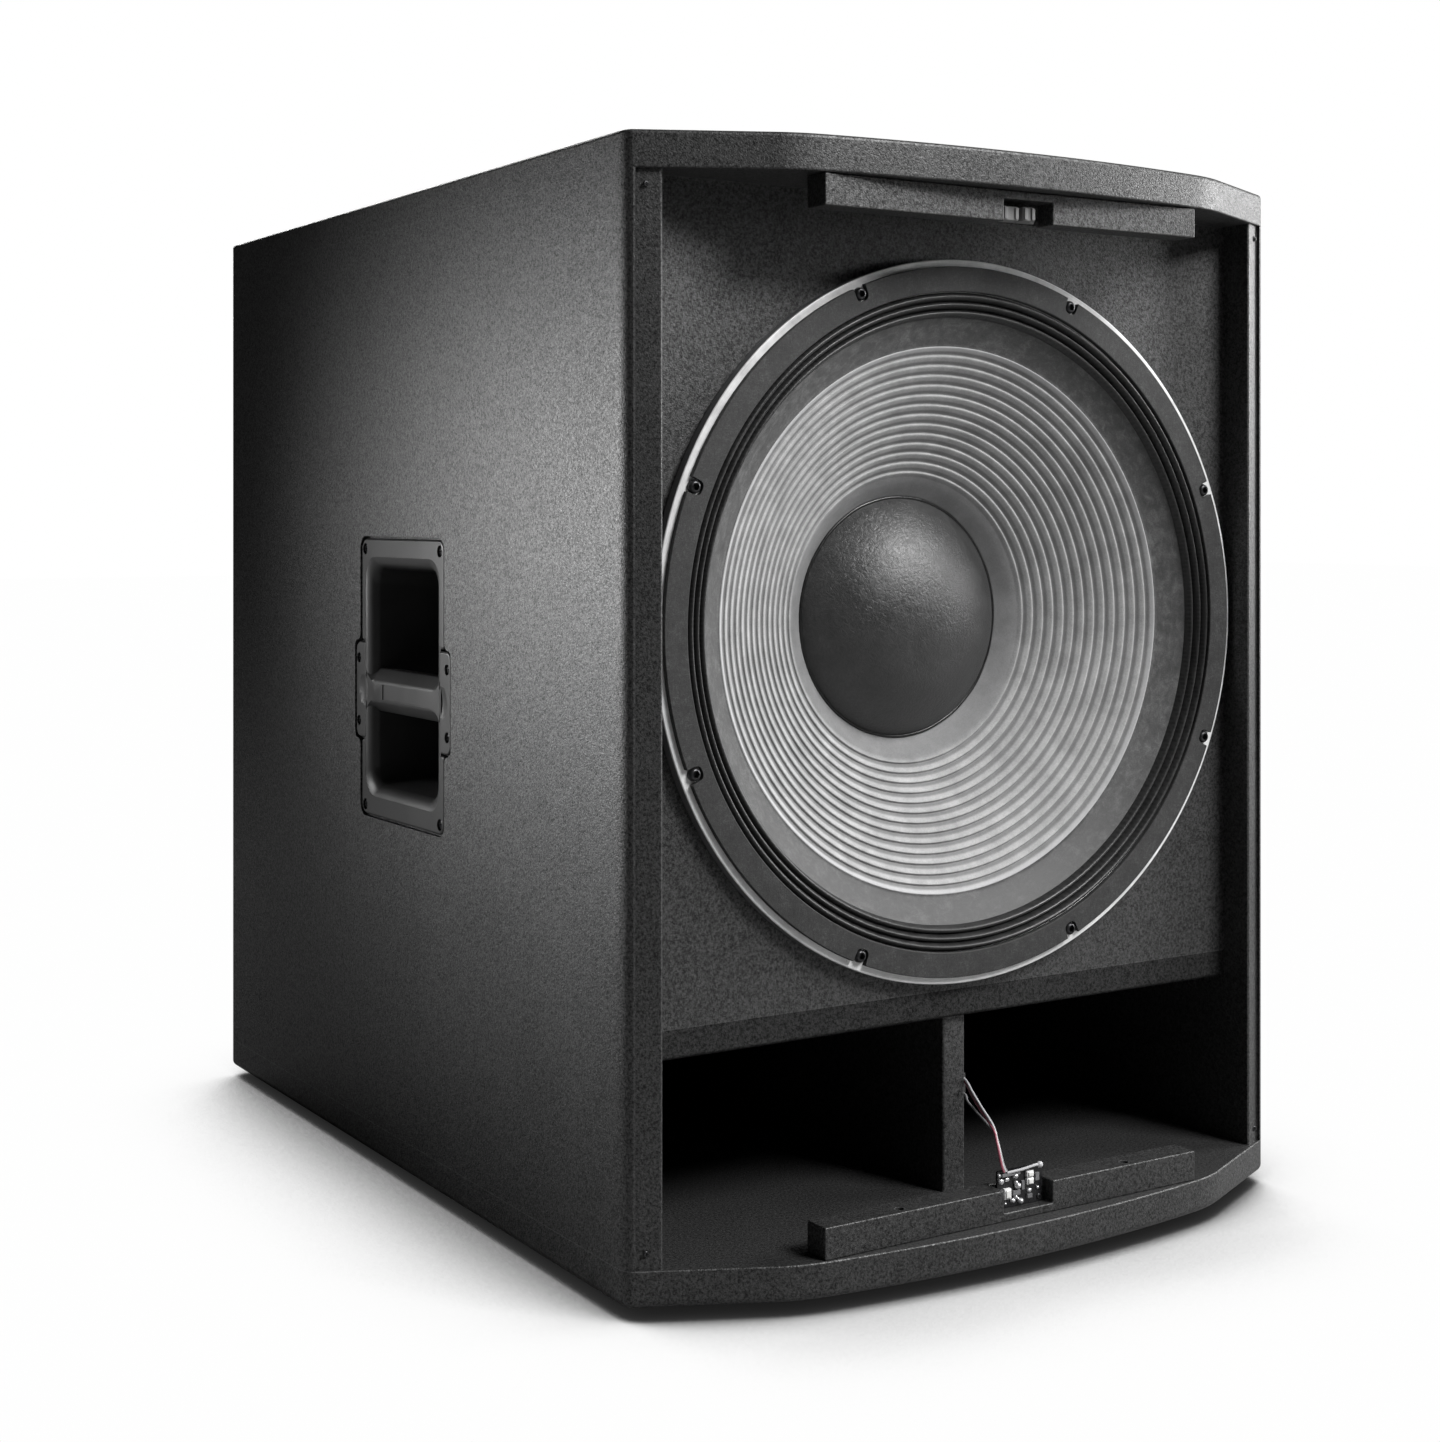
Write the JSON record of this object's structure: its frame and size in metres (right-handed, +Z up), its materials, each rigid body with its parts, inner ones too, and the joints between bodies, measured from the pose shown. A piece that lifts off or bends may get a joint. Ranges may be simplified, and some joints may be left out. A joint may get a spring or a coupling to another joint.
{
  "type": "powered subwoofer cabinet",
  "caption": "Bow-fronted black subwoofer box with its grille off, showing a large ribbed-cone driver above a divided slot port, with side handles and a rear amplifier panel.",
  "frame": {"origin": "middle of the footprint, on the plane of the undersides of the feet", "axes": "+Z up, the bowed front with the driver faces -Y, +X to the right seen from the front"},
  "size_m": [0.512, 0.7186, 0.688],
  "materials": {
    "cabinet_paint": "plywood under black textured polyurea paint, fine pebble grain",
    "bare_plywood": "unpainted birch plywood",
    "moulded_plastic": "satin moulded black plastic",
    "control_plastic": "fine satin black plastic",
    "cast_aluminium": "machined bright on the rim, cast elsewhere",
    "gasket_fibre": "dark pressed fibre board",
    "surround_cloth": "doped black cloth, three rolls",
    "cone_paper": "grey coated paper with moulded rings",
    "cap_paper": "charcoal treated paper, satin",
    "coil_copper": "enamelled copper winding",
    "spider_cloth": "resin-dipped corrugated cloth",
    "plated_steel": "zinc-plated steel",
    "ferrite": "dull sintered ferrite",
    "black_steel": "black powder coat, slight orange peel",
    "black_anodised": "black anodised",
    "circuit_board": "solder mask, satin",
    "bright_metal": "nickel plate",
    "wire_insulation": "soft PVC insulation",
    "foot_rubber": "matt black rubber"
  },
  "bodies": {
    "cabinet": {"top_panel": "cabinet_paint", "bottom_panel": "cabinet_paint", "left_side_panel": "cabinet_paint", "right_side_panel": "cabinet_paint", "rear_panel": "cabinet_paint", "baffle_board": "cabinet_paint", "port_shelf": "cabinet_paint", "port_divider": "cabinet_paint", "upper_grille_batten": "cabinet_paint", "lower_grille_batten": "cabinet_paint", "window_brace": "bare_plywood", "left_handle_cup": "moulded_plastic", "right_handle_cup": "moulded_plastic", "left_grip_bar": "moulded_plastic", "right_grip_bar": "moulded_plastic", "terminal_block": "moulded_plastic", "input_jack_left": "moulded_plastic", "input_jack_right": "moulded_plastic", "output_jack_left": "moulded_plastic", "output_jack_right": "moulded_plastic", "mains_inlet": "moulded_plastic", "upper_grille_catch": "moulded_plastic", "driver_basket": "cast_aluminium", "gasket_ring": "gasket_fibre", "surround": "surround_cloth", "power_transformer": "coil_copper", "spider": "spider_cloth", "top_plate": "plated_steel", "pole_piece": "plated_steel", "amp_housing": "plated_steel", "magnet": "ferrite", "driver_bolt_1": "black_steel", "driver_bolt_2": "black_steel", "driver_bolt_3": "black_steel", "driver_bolt_4": "black_steel", "driver_bolt_5": "black_steel", "driver_bolt_6": "black_steel", "driver_bolt_7": "black_steel", "driver_bolt_8": "black_steel", "amp_plate": "black_steel", "pole_socket": "black_steel", "heatsink": "black_anodised", "led_board": "circuit_board", "amp_circuit_board": "circuit_board", "led_cable": "wire_insulation", "speaker_cable": "wire_insulation", "foot_front_left": "foot_rubber", "foot_front_right": "foot_rubber", "foot_rear_left": "foot_rubber", "foot_rear_right": "foot_rubber"},
    "cone_assembly": {"cone": "cone_paper", "dust_cap": "cap_paper", "voice_coil": "coil_copper"},
    "level_knob": {"level_knob": "control_plastic"},
    "crossover_knob": {"crossover_knob": "control_plastic"},
    "phase_button": {"phase_button": "control_plastic"},
    "ground_lift_button": {"ground_lift_button": "control_plastic"},
    "power_rocker": {"power_rocker": "moulded_plastic"},
    "release_tab_left": {"release_tab_left": "bright_metal"},
    "release_tab_right": {"release_tab_right": "bright_metal"}
  },
  "joints": [
    {"name": "cone_excursion", "type": "slide", "parent": "cabinet", "child": "cone_assembly", "axis": [0, -1, 0], "range_m": [-0.009, 0.009], "stiffness_N_per_m": 1500, "deforming": ["surround", "spider"]},
    {"name": "level_knob_turn", "type": "hinge", "parent": "cabinet", "child": "level_knob", "pos_m": [0, 0.33925, 0.358], "axis": [0, 1, 0], "range_deg": [-150, 150]},
    {"name": "crossover_knob_turn", "type": "hinge", "parent": "cabinet", "child": "crossover_knob", "pos_m": [0, 0.33925, 0.308], "axis": [0, 1, 0], "range_deg": [-150, 150]},
    {"name": "phase_button_press", "type": "slide", "parent": "cabinet", "child": "phase_button", "axis": [0, -1, 0], "range_m": [0, 0.0025]},
    {"name": "ground_lift_button_press", "type": "slide", "parent": "cabinet", "child": "ground_lift_button", "axis": [0, -1, 0], "range_m": [0, 0.0025]},
    {"name": "power_rocker_tilt", "type": "hinge", "parent": "cabinet", "child": "power_rocker", "pos_m": [-0.077, 0.33375, 0.245], "axis": [1, 0, 0], "range_deg": [0, 16]},
    {"name": "release_tab_left_press", "type": "slide", "parent": "cabinet", "child": "release_tab_left", "axis": [0, -1, 0], "range_m": [0, 0.0015]},
    {"name": "release_tab_right_press", "type": "slide", "parent": "cabinet", "child": "release_tab_right", "axis": [0, -1, 0], "range_m": [0, 0.0015]}
  ]
}
